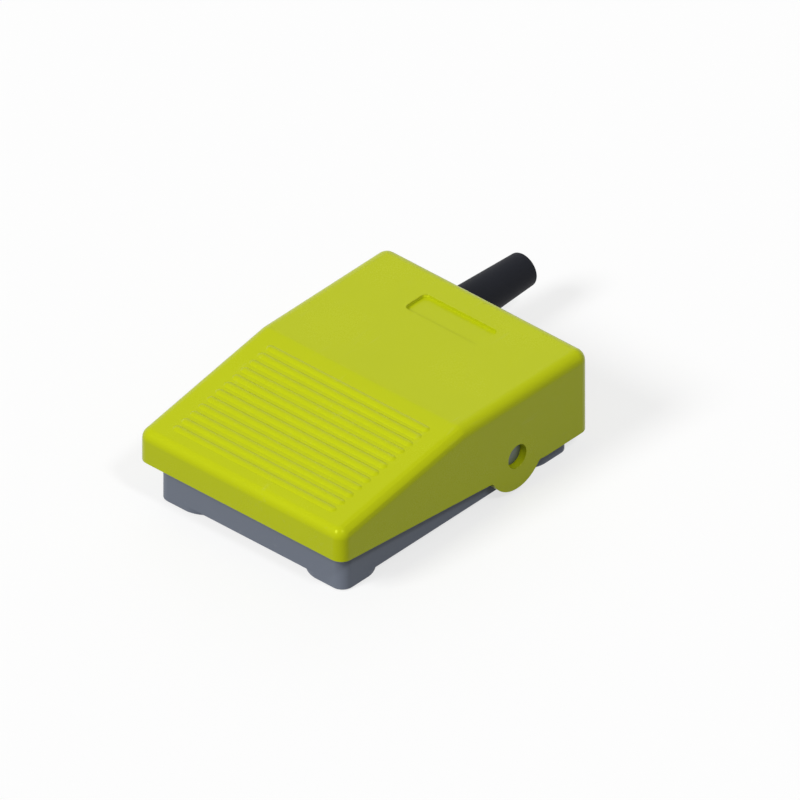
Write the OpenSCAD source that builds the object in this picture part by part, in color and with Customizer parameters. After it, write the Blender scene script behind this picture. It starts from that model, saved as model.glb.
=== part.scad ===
// Mini foot switch: a sprung pedal over a low wedge-shaped base.
// The pedal's front edge faces -Y, the cord leaves towards +Y, and the foot pads stand on Z = 0.
// X = 0 is the middle of the width. All sizes are in millimetres.
// A place "from the front" is measured back from the pedal's front face.

/* [Pedal] */
// Width of the pedal
pedal_w = 68; // [64:0.5:80]
// Length of the pedal
pedal_l = 92; // [90:0.5:104]
// Height of the flat rear top above the table
pedal_h = 29.6; // [29.2:0.1:32]
// Height of the front top edge before rounding
nose_h = 21.5; // [20.8:0.1:22.6]
// From the front to the fold in the top
fold_at = 45.7; // [42:0.1:47]
// Radius of the upright corners
corner_r = 3.2; // [2.6:0.1:5]
// Radius of the rounded top edges
edge_r = 3.2; // [1:0.1:3.2]
// Thickness of the pedal's side walls
side_wall = 2; // [1.6:0.1:2.4]
// Thickness of the pedal's top, measured upright
top_wall = 2.2; // [1.8:0.1:2.4]
// Height of the skirt's lower edge at the front
skirt_front_h = 12.6; // [12:0.1:12.9]
// Height of the skirt's lower edge at the rear
skirt_rear_h = 5.8; // [4.5:0.1:7]
// From the front to where the skirt's lower edge turns level
skirt_level_at = 76; // [74:0.5:80]
// Tilt of the pedal when pressed right down, in degrees
travel = 5; // [3:0.5:5]

/* [Tread and label recess] */
// Number of tread ribs
rib_n = 12; // [6:1:12]
// Distance between tread ribs, seen from above
rib_pitch = 3.13; // [2.6:0.01:3.2]
// Width of a tread rib
rib_w = 2.3; // [1.6:0.1:2.5]
// Height of a tread rib
rib_h = 0.4; // [0.3:0.05:0.8]
// Length of a tread rib, tip to tip
rib_l = 54; // [30:0.5:56]
// From the front to the middle of the first tread rib
rib_first_at = 5.8; // [5:0.1:7]
// Width of the label recess
label_w = 24.5; // [16:0.5:40]
// Length of the label recess
label_l = 8; // [5:0.5:14]
// Depth of the label recess
label_d = 0.9; // [0.4:0.1:1]
// Corner radius of the label recess
label_r = 1.4; // [0.5:0.1:2]
// From the rear face to the middle of the label recess
label_back = 13.6; // [10:0.1:18]

/* [Pivot] */
// From the rear face to the pivot axis
pivot_back = 27; // [26:0.5:30]
// Height of the ears' undersides above the table
ear_clear = 1.6; // [1:0.1:2.4]
// Fillet between an ear and the skirt
ear_fillet_r = 1.5; // [0.8:0.1:3]
// Radius of the pivot pins
pin_r = 3.28; // [2.5:0.02:3.5]
// Length of a pivot pin
pin_l = 12; // [10:0.5:14]
// How far the pin's end lies inside the pedal's side face
pin_recess = 1.8; // [0.5:0.1:2]
// Radial running clearance between ear and pin
pin_play = 0.05; // [0.02:0.01:0.1]
// Radius of the boss inside an ear
ear_boss_r = 5.5; // [5:0.1:5.6]
// Height of that boss above the wall's inner face
ear_boss_h = 2.8; // [1.6:0.1:3]

/* [Base] */
// From the pedal's side face in to the base
base_side_in = 3.2; // [3:0.1:4]
// From the pedal's front face in to the base
base_front_in = 4.3; // [4:0.1:6]
// From the pedal's rear face in to the base
base_rear_in = 4.1; // [4:0.1:6]
// Corner radius of the base
base_corner_r = 3.2; // [2.8:0.1:5]
// How far the base's rim lies under the pedal's top surface
rim_drop = 9.1; // [8.9:0.1:9.3]
// Wall thickness of the base
base_wall = 2.4; // [2:0.1:2.6]
// Thickness of the lip that frames the inner cover
lip = 1.2; // [0.8:0.1:1.4]
// Floor thickness of the base
floor_t = 2; // [1.6:0.1:2.2]
// Height of the corner feet
foot_h = 1.5; // [1:0.1:2]
// Radius of the round feet, which fill the base's corners
foot_r = 8.7; // [7:0.1:10]
// Radius of the rubber pads
pad_r = 5.5; // [4:0.1:6]
// Thickness of the rubber pads
pad_t = 1.5; // [1:0.1:1.8]
// How far the pads stand out of the feet
pad_out = 0.4; // [0.3:0.1:0.6]
// Radius of the two blind fixing holes in the underside
fixing_r = 1.6; // [1.2:0.1:2]
// Distance between the fixing holes
fixing_span = 60; // [57:1:61]
// Depth of the fixing holes
fixing_depth = 6; // [4:0.5:7]

/* [Inner cover] */
// Thickness of the inner cover
cover_t = 2; // [1.8:0.1:2.2]
// Thickness of the gasket under it
gasket_t = 0.6; // [0.4:0.1:0.8]
// Radius of the cover screws' shanks
cover_screw_r = 1.25; // [1:0.05:1.4]
// Radius of the cover screws' heads
cover_screw_head_r = 2.2; // [1.8:0.1:2.3]
// Length of the cover screws' shanks
cover_screw_l = 7; // [5:0.5:8]

/* [Return springs] */
// Outer diameter of a spring
spring_d = 8; // [7:0.1:8.4]
// Wire diameter
wire_d = 0.8; // [0.6:0.05:0.9]
// Number of turns
spring_turns = 7; // [5:1:8]
// From the front to the springs' axes
spring_at = 19; // [18.5:0.5:22]
// From the base's side face in to a spring's axis
spring_in = 15.8; // [15.3:0.1:18]

/* [Actuator] */
// From the pivot axis forward to the actuator's axis
actuator_arm = 17.5; // [16.5:0.1:18]
// Radius of the actuator's stem
stem_r = 2; // [1.8:0.05:2.2]
// Radius of the actuator's head
head_r = 3.4; // [3:0.1:3.6]
// Radius of the head's domed top
dome_r = 6; // [5:0.5:9]
// Radial running clearance of stem and button
slide_play = 0.05; // [0.03:0.01:0.1]

/* [Microswitch] */
// Length of the switch body
case_l = 19.8; // [19:0.1:20.4]
// Width of the switch body
case_w = 6.4; // [6:0.1:6.8]
// Room under the switch body for its terminals
lug_room = 1.1; // [0.9:0.1:1.6]
// Room over the switch body for its lever
lever_room = 3.9; // [3.8:0.1:4.4]
// From the lever's hinge to the actuator
lever_arm = 15.5; // [15:0.1:16]
// From the lever's hinge to the button
button_arm = 6.5; // [6:0.1:7]
// Width of the lever
lever_w = 3.6; // [3:0.1:4]
// Thickness of the lever
lever_t = 0.4; // [0.3:0.05:0.5]
// Radius of the button
button_r = 1; // [0.8:0.05:1.2]
// Distance between the case's two screws
case_screw_span = 9.5; // [9:0.1:10]
// Radius of the case's screws
case_screw_r = 1; // [0.8:0.05:1.1]
// Width of a terminal
terminal_w = 3.2; // [2.8:0.1:3.4]
// Thickness of a terminal
terminal_t = 0.5; // [0.4:0.05:0.6]
// How far a terminal reaches out of the case
terminal_out = 5; // [4:0.5:7]

/* [Cord sleeve and clamp] */
// From the base's left side face in to the cord's axis
cord_in = 13.4; // [13.2:0.1:14]
// Height of the cord's axis over the middle of the room inside the tub
cord_rise = 1.2; // [1:0.1:1.3]
// Radius of the sleeve's bore
cord_r = 2.9; // [2.4:0.1:3.2]
// Radius of the sleeve where it meets the base
sleeve_r = 6; // [5.6:0.05:6.1]
// Radius of the sleeve at its free end
sleeve_end_r = 4.65; // [4.2:0.05:5]
// How far the sleeve reaches behind the pedal
sleeve_out = 32.4; // [20:0.1:45]
// Thickness of the flange inside the base wall
flange_t = 1.9; // [1.2:0.1:2]
// Thickness of the clamp bar
clamp_t = 2; // [1.6:0.1:2]
// Width of the clamp bar, along the cord
clamp_w = 5; // [4:0.1:5]
// Distance between the clamp's two screws
clamp_span = 14; // [13.6:0.1:14.2]
// From the pedal's rear face forward to the clamp
clamp_back = 18.4; // [18:0.1:18.8]

/* [Hidden] */
$fn = 48;

// Colours
lime = [0.76, 0.81, 0.18];
base_grey = [0.42, 0.44, 0.49];
cover_grey = [0.3, 0.31, 0.34];
rubber_black = [0.09, 0.1, 0.12];
steel = [0.7, 0.71, 0.72];
brass = [0.78, 0.64, 0.32];
nylon = [0.86, 0.86, 0.82];
switch_red = [0.62, 0.16, 0.12];
switch_black = [0.14, 0.14, 0.15];

// General clearances
cut = 1;          // overrun of a cut past the face it opens
seat = 0.1;       // gap between parts that touch in use but move apart
fit = 0.15;       // clearance round a fixed part in its recess
reach = 40;       // overrun of a profile past the ends of the pedal
fillet_bite = 0.02; // how far a fillet's round cuts into the edge that it meets
foot_bite = 0.05; // how far a foot's round would stand out of the base's faces

// Lines and places of the pedal
front_y = -(pedal_l + sleeve_out) / 2;
rear_y = front_y + pedal_l;
fold_y = front_y + fold_at;
slope = (pedal_h - nose_h) / fold_at;
slope_deg = atan(slope);
pivot_y = rear_y - pivot_back;
skirt_fall = (skirt_front_h - skirt_rear_h) / skirt_level_at;
skirt_level_y = front_y + skirt_level_at;
inner_w = pedal_w - 2 * side_wall;

// Height of the pedal's top surface over a place y, before rounding
function roof(y) = y < fold_y ? nose_h + slope * (y - front_y) : pedal_h;
// Height of the skirt's lower edge over a place y
function skirt(y) = y < skirt_level_y ? skirt_front_h - skirt_fall * (y - front_y) : skirt_rear_h;

// Lines and places of the base
foot_z = pad_out;
floor_z = foot_z + foot_h;
foot_in = foot_r - foot_bite;             // from the base's faces in to the middle of a foot
floor_top = floor_z + floor_t;
base_w = pedal_w - 2 * base_side_in;
base_l = pedal_l - base_front_in - base_rear_in;
base_y = front_y + base_front_in;
base_rear_y = base_y + base_l;
wall_in_y = base_rear_y - base_wall;
cover_drop = rim_drop + cover_t;          // the cover's underside, under the roof line
ledge_drop = cover_drop + gasket_t;       // the ledge that carries the gasket
least_r = 0.4;                            // smallest inner corner radius
cover_under = pedal_h - cover_drop;       // underside of the cover's flat part
room_h = (floor_top + cover_under) / 2;   // middle height of the room inside the tub

// Pivot
pivot_h = room_h;
ear_r = pivot_h - ear_clear;
ear_hole_r = pin_r + pin_play;
ear_x = pedal_w / 2;
boss_x = inner_w / 2 - ear_boss_h;        // inner end of an ear's boss
pocket_gap = 0.6;                         // radial room round a boss in its pocket
pocket_r = ear_boss_r + pocket_gap;
pocket_x = boss_x - 2 * fit;              // floor of the pocket in the base's side
pin_x = ear_x - pin_recess;
pin_chamfer = 0.3;
pivot_block_r = pin_r + base_wall;
pivot_block_x = pin_x - pin_l - lip;

// Springs
spring_y = front_y + spring_at;
spring_x = base_w / 2 - spring_in;
spring_r = (spring_d - wire_d) / 2;
spring_room = 0.8;                        // radial room round a spring in its well
well_r = spring_d / 2 + spring_room;
well_wall = 1.2;
well_floor = 1.2;
well_z = floor_top + 2 * fit;
spring_z = well_z + well_floor;
spring_pad_drop = 1.7;                      // how far a spring's pad stands down from the ceiling
spring_top = roof(spring_y) - top_wall - spring_pad_drop;
spring_h = spring_top - spring_z - 2 * seat;
spigot_r = spring_r - wire_d / 2 - 2 * fit;
spigot_l = 2;
helix_rings = 8;
helix_sides = 6;

// Microswitch: its foot, hinge and moving places
case_z = floor_top + lug_room;
case_h = cover_under - lever_room - case_z;
case_top = case_z + case_h;
actuator_y = pivot_y - actuator_arm;
hinge_y = actuator_y + lever_arm;
hinge_rise = 0.5;                         // the hinge axis over the case's top
hinge_back = 1.8;                         // from the hinge axis back to the case's rear end
hinge_z = case_top + hinge_rise;
case_y = hinge_y + hinge_back - case_l;   // front end of the case
lever_rise = 1.8;                         // rise of the lever from its hinge to the actuator
lever_deg = atan(lever_rise / lever_arm);
barrel_r = 0.42;
hinge_ear_t = 0.8;
hinge_ear_half = 1.2;                     // half the length of a hinge ear, which is also its rise over the axis
lever_tip = 1.5;                          // how far the lever reaches past the actuator
button_y = hinge_y - button_arm;
button_top = hinge_z + button_arm * tan(lever_deg) - lever_t / 2 / cos(lever_deg) - seat;
button_l = 3.2;
button_room = 1;                          // depth that the button can still sink
case_screw_rise = 2.9;
case_screw_z = case_z + case_screw_rise;
lid_t = 1.4;
bracket_t = 3;
terminal_pitch = 8.8;                     // between the first two terminals
terminal_pitch_2 = 7.3;                   // between the last two
terminal_pitches = [0, terminal_pitch, terminal_pitch + terminal_pitch_2];
terminal_end = (case_l - terminal_pitches[2]) / 2;
seat_rib = 2;                             // thickness of a ridge under the case

// Actuator
lever_top = hinge_z + lever_rise + lever_t / 2 / cos(lever_deg);
stem_z = lever_top + seat;
pusher_l = 2.1;                           // how far the pusher stands down from the ceiling
pusher_r = 3;
pusher_z = pedal_h - top_wall - pusher_l;
head_top = pusher_z - seat;
head_h = 2.2;
head_z = head_top - head_h;
guide_wall = 1.3;
guide_rise = 0.8;                         // the guide's top over the cover
guide_top = pedal_h - rim_drop + guide_rise;
clip_t = 0.5;
clip_w = 1.7;
groove_d = 0.4;
groove_r = stem_r - groove_d;
clip_r = groove_r + clip_w;
clip_z = cover_under - seat - clip_t;
boot_r = 6;
boot_t = 0.6;
boot_seat_r = boot_r + groove_d;
boot_seat_z = pedal_h - rim_drop + groove_d;

// Screws and pillars
pillar_r = 2.6;
pillar_in = 6.3;                          // from the base's side face in to a pillar's axis
pillar_end_in = 12;                       // from the pedal's front or rear face in to a pillar's axis
pillar_mid_in = 17;                       // from the pivot axis forward to the middle pillars
pillar_y = [front_y + pillar_end_in, pivot_y - pillar_mid_in, rear_y - pillar_end_in];
head_sink = 1;
cover_screw_head_h = 1.2;
pilot_play = 0.05;
fixing_wall = 2;
fixing_boss_r = fixing_r + fixing_wall;
fixing_y = base_y + base_l / 2;

// Cord, its sleeve and clamp
cord_x = cord_in - base_w / 2;
cord_h = room_h + cord_rise;
flange_r = cover_under - cord_h - 3 * seat;
neck_share = 0.6;                         // place of the neck's skin between the bore and the flange's rim
neck_r = cord_r + neck_share * (flange_r - cord_r);
clamp_y = rear_y - clamp_back;
clamp_screw_head_h = 1.2;
clamp_room = cover_under - cord_h - clamp_t - clamp_screw_head_h;
clamp_share = 0.38;                       // share of that room which lies under the clamp
clamp_z = cord_h + clamp_share * clamp_room;
arch_wall = 0.8;                          // the clamp's least thickness over the cord
post_r = 2.2;
clamp_screw_r = 1;
clamp_screw_head_r = 1.9;
clamp_screw_l = 7;
notch_gap = 0.7;                          // room round the sleeve in the pedal's rear wall
notch_r = sleeve_r + notch_gap;
stop_t = 1.6;                             // thickness of the pedal's stop ribs
front_stop_l = 12;
rear_stop_l = 6;
stiffener_h = 3;                          // depth of the pedal's two long ribs
stiffener_gap = 5;                        // from the actuator's axis back to their front ends

// Turns a side view drawn in (Y, Z) into a bar of length w along X
module along_x(w) {
    rotate([90, 0, 90])
        linear_extrude(w, center = true)
            children();
}

// A rectangle with true round corners, centred on x, from y = 0 to y = l
module round_rect(w, l, r) {
    translate([-w / 2 + r, 0])
        square([w - 2 * r, l]);
    translate([-w / 2, r])
        square([w, l - 2 * r]);
    for (x = [-1, 1], y = [r, l - r])
        translate([x * (w / 2 - r), y])
            circle(r);
}

// Side view of all that lies over height low and under the roof line lowered by drop
module under_roof(drop, low = 0) {
    polygon([[front_y - reach, low], [rear_y + reach, low], [rear_y + reach, pedal_h - drop],
             [fold_y, pedal_h - drop], [front_y - reach, roof(front_y - reach) - drop]]);
}

// The pedal's plan or the base's plan, drawn in by the distance inset
module pedal_plan(inset) {
    translate([0, front_y + inset])
        round_rect(pedal_w - 2 * inset, pedal_l - 2 * inset, max(corner_r - inset, least_r));
}

module base_plan(inset) {
    translate([0, base_y + inset])
        round_rect(base_w - 2 * inset, base_l - 2 * inset, max(base_corner_r - inset, least_r));
}

// A wedge with the base's plan drawn in by inset, between a height and the lowered roof line
module base_wedge(inset, low, drop) {
    intersection() {
        translate([0, 0, low])
            linear_extrude(pedal_h)
                base_plan(inset);
        along_x(2 * pedal_w)
            under_roof(drop, low);
    }
}

// A slab with the base's plan drawn in by inset, between two lowered roof lines
module roof_slab(inset, low_drop, high_drop) {
    intersection() {
        linear_extrude(pedal_h)
            base_plan(inset);
        along_x(2 * pedal_w)
            difference() {
                under_roof(high_drop);
                under_roof(low_drop, -pedal_h);
            }
    }
}

// A cylinder along X from x1 to x2, at a place in Y and Z
module bar_x(r, x1, x2, y, z) {
    translate([min(x1, x2), y, z])
        rotate([0, 90, 0])
            cylinder(r = r, h = abs(x2 - x1));
}

// Round parts are drawn as half sections in (r, z) and turned about a vertical axis
module turned(x, y, z) {
    translate([x, y, z])
        rotate_extrude()
            children();
}

// Pedal

// An upright column with a rounded top edge, at a corner of the pedal
module corner_column(x, y, top) {
    steps = 6;
    arc = [for (i = [0:steps])
           [corner_r - edge_r + edge_r * cos(90 * i / steps), top - edge_r + edge_r * sin(90 * i / steps)]];
    translate([x, y, 0])
        rotate_extrude($fn = 32)
            polygon(concat([[0, 0], [corner_r, 0]], arc, corner_r > edge_r ? [[0, top]] : []));
}

module pedal_form() {
    nose_top = nose_h + edge_r * (slope + 1 - 1 / cos(slope_deg));
    fold_column_y = fold_y + edge_r * (1 / cos(slope_deg) - 1) / slope + corner_r - edge_r;
    hull()
        for (x = [-1, 1] * (pedal_w / 2 - corner_r)) {
            corner_column(x, front_y + corner_r, nose_top);
            corner_column(x, fold_column_y, pedal_h);
            corner_column(x, rear_y - corner_r, pedal_h);
        }
}

// Side view of what is cut away below the skirt, which leaves the round ears standing down
module skirt_side_cut() {
    difference() {
        polygon([[front_y - reach, -cut], [rear_y + reach, -cut], [rear_y + reach, skirt_rear_h],
                 [skirt_level_y, skirt_rear_h], [front_y - reach, skirt(front_y - reach)]]);
        translate([pivot_y, pivot_h])
            circle(ear_r);
        ear_fillet(-1);
        ear_fillet(1);
    }
}

// Fills the corner between the round ear and the skirt's edge with a hollow round of ear_fillet_r.
// Its centre lies that far under the sloping edge and outside the ear.
module ear_fillet(side) {
    along = [1, -skirt_fall] / norm([1, skirt_fall]);
    up = [-along[1], along[0]];
    ear = [pivot_y, pivot_h];
    depth = (ear - [front_y, skirt_front_h]) * up + ear_fillet_r;
    centre = ear - depth * up + side * along * sqrt(pow(ear_r + ear_fillet_r, 2) - pow(depth, 2));
    difference() {
        polygon([ear, centre, centre + (ear_fillet_r + cut) * up]);
        translate(centre + fillet_bite * up)
            circle(ear_fillet_r);
    }
}

// A tread rib: a long round-ended bar of which only the top stands out of the slope
module tread_rib() {
    rho = (pow(rib_w / 2, 2) + pow(rib_h, 2)) / (2 * rib_h);
    half = rib_l / 2 - rib_w / 2;
    steps = 5;
    arc = [for (i = [0:steps]) [rho * cos(90 * i / steps), half + rho * sin(90 * i / steps)]];
    sunk = 2 * rib_h;
    intersection() {
        translate([0, 0, rib_h - rho])
            rotate([0, 90, 0])
                rotate_extrude()
                    polygon(concat([[0, -half - rho]], [for (i = [0:steps]) [arc[steps - i][0], -arc[steps - i][1]]], arc));
        translate([-rib_l, -rib_w, -sunk])
            cube([2 * rib_l, 2 * rib_w, sunk + 2 * rib_h]);
    }
}

module tread() {
    for (i = [0:rib_n - 1]) {
        y = front_y + rib_first_at + i * rib_pitch;
        translate([0, y, roof(y)])
            rotate([slope_deg, 0, 0])
                tread_rib();
    }
}

// What stands down from the pedal's ceiling at a place, as a round post
module ceiling_post(x, y, r, low) {
    translate([x, y, low])
        cylinder(r = r, h = roof(y) - top_wall / 2 - low);
}

// Ribs at the front that meet the cover when the pedal is right down
module front_stops() {
    difference() {
        for (x = [-1, 1] * spring_x / 2)
            intersection() {
                translate([x - stop_t / 2, front_y + side_wall / 2, 0])
                    cube([stop_t, front_stop_l, pedal_h]);
                along_x(pedal_w)
                    under_roof(top_wall / 2, skirt_front_h);
            }
        translate([0, pivot_y, pivot_h])
            rotate([-travel, 0, 0])
                translate([0, -pivot_y, -pivot_h])
                    along_x(pedal_w)
                        under_roof(rim_drop - 2 * seat, -reach);
    }
}

// Ribs at the rear that rest on the base's rim while the pedal is up
module rear_stops() {
    low = pedal_h - rim_drop + seat;
    for (x = [-1, 1] * (base_w / 2 - pillar_in))
        translate([x - stop_t / 2, rear_y - side_wall / 2 - rear_stop_l, low])
            cube([stop_t, rear_stop_l, pedal_h - top_wall / 2 - low]);
}

// Two long ribs that stiffen the flat rear of the top
module stiffeners() {
    start = actuator_y + stiffener_gap;
    for (x = [-1, 1] * spring_x / 2)
        translate([x - stop_t / 2, start, pedal_h - top_wall - stiffener_h])
            cube([stop_t, rear_y - side_wall / 2 - start, top_wall / 2 + stiffener_h]);
}

module pedal() {
    color(lime)
        difference() {
            union() {
                difference() {
                    pedal_form();
                    intersection() {
                        linear_extrude(pedal_h)
                            pedal_plan(side_wall);
                        along_x(2 * pedal_w)
                            under_roof(top_wall, -cut);
                    }
                    along_x(2 * pedal_w)
                        skirt_side_cut();
                    translate([0, rear_y - label_back - label_l / 2, pedal_h - label_d])
                        linear_extrude(2 * label_d)
                            round_rect(label_w, label_l, label_r);
                    translate([cord_x, rear_y - 2 * side_wall, 0])
                        rotate([-90, 0, 0])
                            linear_extrude(4 * side_wall)
                                translate([0, -cord_h]) {
                                    circle(notch_r);
                                    translate([-notch_r, 0])
                                        square([2 * notch_r, pedal_h]);
                                }
                }
                tread();
                for (side = [-1, 1]) {
                    bar_x(ear_boss_r, side * boss_x, side * (ear_x - side_wall / 2), pivot_y, pivot_h);
                    ceiling_post(side * spring_x, spring_y, spring_d / 2 + wire_d / 2, spring_top);
                    ceiling_post(side * spring_x, spring_y, spigot_r, spring_top - spigot_l);
                }
                ceiling_post(0, actuator_y, pusher_r, pusher_z);
                front_stops();
                rear_stops();
                stiffeners();
            }
            for (side = [-1, 1])
                bar_x(ear_hole_r, side * (boss_x - cut), side * (ear_x + cut), pivot_y, pivot_h);
        }
}

// Base housing

// Plan of the four feet: round, filled out to the base's corners
module feet_plan() {
    foot_places()
        circle(foot_r);
    for (x = [-1, 1] * base_w, y = [-1, 1] * base_l)
        translate([x / 2, base_y + base_l / 2 + y / 2])
            square(2 * foot_in, center = true);
}

// Cuts the underside away between the feet
module foot_gaps() {
    translate([0, 0, foot_z - cut])
        linear_extrude(foot_h + cut)
            difference() {
                translate([-base_w, base_y - base_w])
                    square([2 * base_w, base_l + 2 * base_w]);
                feet_plan();
            }
}

module foot_places() {
    for (x = [-1, 1] * (base_w / 2 - foot_in), y = [base_y + foot_in, base_rear_y - foot_in])
        translate([x, y])
            children();
}

module pillar_places() {
    for (x = [-1, 1] * (base_w / 2 - pillar_in), y = pillar_y)
        translate([x, y, 0])
            children();
}

module case_screw_places(x) {
    for (s = [-0.5, 0.5])
        translate([x, case_y + case_l / 2 + s * case_screw_span, case_screw_z])
            children();
}

module clamp_places(z) {
    for (s = [-0.5, 0.5])
        translate([cord_x + s * clamp_span, clamp_y, z])
            children();
}

// What stands on the floor inside the tub
module base_inside() {
    intersection() {
        pillar_places()
            translate([0, 0, floor_z + floor_t / 2])
                cylinder(r = pillar_r, h = pedal_h);
        base_wedge(base_wall / 2, floor_z, cover_drop);
    }
    intersection() {
        for (side = [-1, 1]) {
            x = side > 0 ? pivot_block_x : -base_w / 2 + base_wall / 2;
            w = base_w / 2 - base_wall / 2 - pivot_block_x;
            bar_x(pivot_block_r, x, x + w, pivot_y, pivot_h);
            translate([x, pivot_y - pivot_block_r, floor_z + floor_t / 2])
                cube([w, 2 * pivot_block_r, pivot_h - floor_z - floor_t / 2]);
        }
        base_wedge(base_wall / 2, floor_z, ledge_drop);
    }
    clamp_places(floor_z + floor_t / 2)
        cylinder(r = post_r, h = clamp_z - floor_z - floor_t / 2);
    cord_saddle();
    switch_seat();
    for (s = [-0.5, 0.5])
        translate([0, fixing_y + s * fixing_span, floor_z])
            cylinder(r = fixing_boss_r, h = fixing_depth + floor_t);
}

// A ridge with a round notch that carries the cord under the clamp
module cord_saddle() {
    low = floor_z + floor_t / 2;
    difference() {
        translate([cord_x - clamp_span / 2, clamp_y - clamp_w / 4, low])
            cube([clamp_span, clamp_w / 2, cord_h - low]);
        translate([cord_x, clamp_y, cord_h])
            rotate([90, 0, 0])
                cylinder(r = cord_r, h = 2 * clamp_w, center = true);
    }
}

// The bracket that the microswitch is screwed to, and two ridges under its case
module switch_seat() {
    low = floor_z + floor_t / 2;
    translate([-case_w / 2 - bracket_t, case_y, low])
        cube([bracket_t, case_l, case_screw_z + 3 * case_screw_r - low]);
    for (i = [0, 1]) {
        y = case_y + terminal_end + (terminal_pitches[i] + terminal_pitches[i + 1] - seat_rib) / 2;
        translate([-case_w / 2 - bracket_t, y, low])
            cube([case_w + bracket_t, seat_rib, case_z - low]);
    }
}

module base_housing() {
    color(base_grey)
        difference() {
            union() {
                difference() {
                    base_wedge(0, foot_z, rim_drop);
                    base_wedge(base_wall, floor_top, rim_drop - cut);
                    roof_slab(lip, ledge_drop, rim_drop - cut);
                }
                base_inside();
            }
            foot_gaps();
            foot_places()
                translate([0, 0, foot_z - cut])
                    cylinder(r = pad_r + fit, h = pad_t - pad_out + cut);
            for (side = [-1, 1]) {
                bar_x(pocket_r, side * pocket_x, side * base_w, pivot_y, pivot_h);
                bar_x(pin_r, side * (pin_x - pin_l - seat), side * base_w, pivot_y, pivot_h);
            }
            translate([cord_x, base_rear_y + cut, cord_h])
                rotate([90, 0, 0])
                    cylinder(r = neck_r + fit, h = base_wall + 2 * cut);
            pillar_places()
                translate([0, 0, floor_top])
                    cylinder(r = cover_screw_r + pilot_play, h = pedal_h);
            clamp_places(floor_top)
                cylinder(r = clamp_screw_r + pilot_play, h = pedal_h);
            case_screw_places(-case_w / 2 - bracket_t - cut)
                rotate([0, 90, 0])
                    cylinder(r = case_screw_r + pilot_play, h = bracket_t + 2 * cut);
            for (s = [-0.5, 0.5])
                translate([0, fixing_y + s * fixing_span, floor_z - cut])
                    cylinder(r = fixing_r, h = fixing_depth + cut);
        }
}

module foot_pads() {
    chamfer = 0.3 * pad_out;
    color(rubber_black)
        foot_places()
            rotate_extrude()
                polygon([[0, 0], [pad_r - chamfer, 0], [pad_r, chamfer], [pad_r, pad_t], [0, pad_t]]);
}

// Inner cover

module inner_cover() {
    color(cover_grey)
        difference() {
            union() {
                roof_slab(lip + fit, cover_drop, rim_drop);
                for (side = [-1, 1])
                    translate([side * spring_x, spring_y, well_z])
                        cylinder(r = well_r + well_wall, h = roof(spring_y) - rim_drop - cover_t / 2 - well_z);
                translate([0, actuator_y, cover_under])
                    cylinder(r = boot_seat_r, h = boot_seat_z - cover_under);
                translate([0, actuator_y, cover_under])
                    cylinder(r = stem_r + guide_wall, h = guide_top - cover_under);
            }
            for (side = [-1, 1])
                translate([side * spring_x, spring_y, spring_z])
                    cylinder(r = well_r, h = pedal_h);
            translate([0, actuator_y, cover_under - cut])
                cylinder(r = stem_r + slide_play, h = pedal_h);
            translate([0, actuator_y, cover_under - cover_t])
                cylinder(r = clip_r + 2 * fit, h = cover_t);
            pillar_places()
                cylinder(r = cover_screw_r + fit, h = pedal_h);
            for (x = [-1, 1] * (base_w / 2 - pillar_in), y = pillar_y)
                translate([x, y, roof(y) - rim_drop - head_sink])
                    cylinder(r = cover_screw_head_r + fit, h = pedal_h);
        }
}

module cover_gasket() {
    color(rubber_black)
        difference() {
            roof_slab(lip + fit, ledge_drop, cover_drop);
            linear_extrude(pedal_h)
                base_plan(base_wall);
        }
}

// A screw that points down, with its head's underside at z = 0 and a cross recess in its head
module screw(r, l, head_r, head_h) {
    slot_share = 0.35;
    difference() {
        rotate_extrude()
            polygon([[0, -l], [r / 2, -l], [r, r - l], [r, 0], [head_r, 0], [head_r, 0.6 * head_h],
                     [0.8 * head_r, head_h], [0, head_h]]);
        for (turn = [0, 90])
            rotate([0, 0, turn])
                translate([-0.55 * head_r, -slot_share * r / 2, 0.45 * head_h])
                    cube([1.1 * head_r, slot_share * r, head_h]);
    }
}

module cover_screws() {
    color(steel)
        for (x = [-1, 1] * (base_w / 2 - pillar_in), y = pillar_y)
            translate([x, y, roof(y) - rim_drop - head_sink])
                screw(cover_screw_r, cover_screw_l, cover_screw_head_r, cover_screw_head_h);
}

// Pivot pins

module pivot_pin(side) {
    color(steel)
        translate([side * pin_x, pivot_y, pivot_h])
            rotate([0, -side * 90, 0])
                rotate_extrude()
                    polygon([[0, 0], [pin_r - pin_chamfer, 0], [pin_r, pin_chamfer],
                             [pin_r, pin_l - pin_chamfer], [pin_r - pin_chamfer, pin_l], [0, pin_l]]);
}

module pivot_pin_left() {
    pivot_pin(-1);
}

module pivot_pin_right() {
    pivot_pin(1);
}

// Return springs: one round wire swept along a helix, as rings of helix_sides points

spring_pitch = (spring_h - wire_d) / spring_turns;
ring_count = spring_turns * helix_rings + 1;
spring_lean = atan(spring_pitch / (2 * PI * spring_r));

// Point k of ring i: the ring stands square to the wire
function coil_point(i, k) =
    let (turn = 360 * i / helix_rings, a = 360 * k / helix_sides,
         out = wire_d / 2 * cos(a), up = wire_d / 2 * sin(a))
    [(spring_r + out) * cos(turn) + up * sin(spring_lean) * sin(turn),
     (spring_r + out) * sin(turn) - up * sin(spring_lean) * cos(turn),
     wire_d / 2 + spring_pitch * i / helix_rings + up * cos(spring_lean)];

spring_points = [for (i = [0:ring_count - 1], k = [0:helix_sides - 1]) coil_point(i, k)];
spring_sides = [for (i = [0:ring_count - 2], k = [0:helix_sides - 1])
                let (a = i * helix_sides + k, b = i * helix_sides + (k + 1) % helix_sides)
                each [[a, a + helix_sides, b], [b, a + helix_sides, b + helix_sides]]];
spring_ends = [for (k = [1:helix_sides - 2])
               let (last = (ring_count - 1) * helix_sides)
               each [[0, k, k + 1], [last, last + k + 1, last + k]]];

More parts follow.
